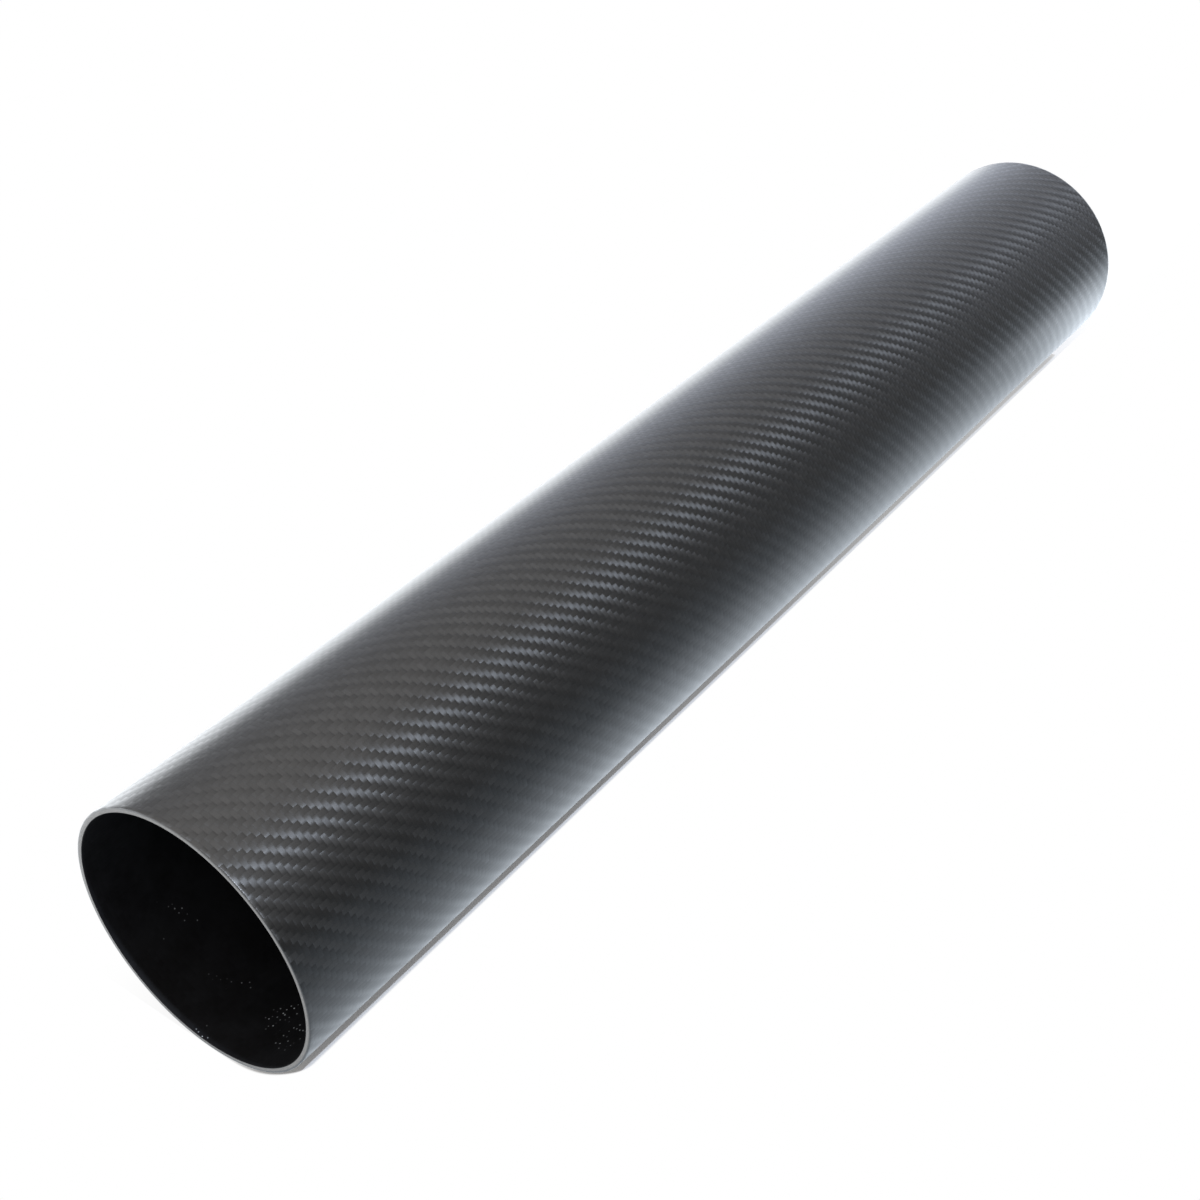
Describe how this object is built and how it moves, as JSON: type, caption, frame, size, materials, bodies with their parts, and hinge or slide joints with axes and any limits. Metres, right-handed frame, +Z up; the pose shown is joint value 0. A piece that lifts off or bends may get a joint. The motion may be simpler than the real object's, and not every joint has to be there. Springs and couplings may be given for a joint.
{
  "type": "carbon fibre intake tube",
  "caption": "Straight thin-walled engine intake tube of woven carbon fibre with plain cut ends, lying on its side.",
  "frame": {"origin": "middle of the tube's lowest line, on the surface that it lies on", "axes": "+X along the tube, +Y across it, +Z up"},
  "size_m": [0.6, 0.102, 0.102],
  "materials": {
    "carbon_laminate": "satin clear resin over black 2x2 twill carbon cloth"
  },
  "bodies": {
    "root": {"tube": "carbon_laminate"}
  },
  "joints": []
}
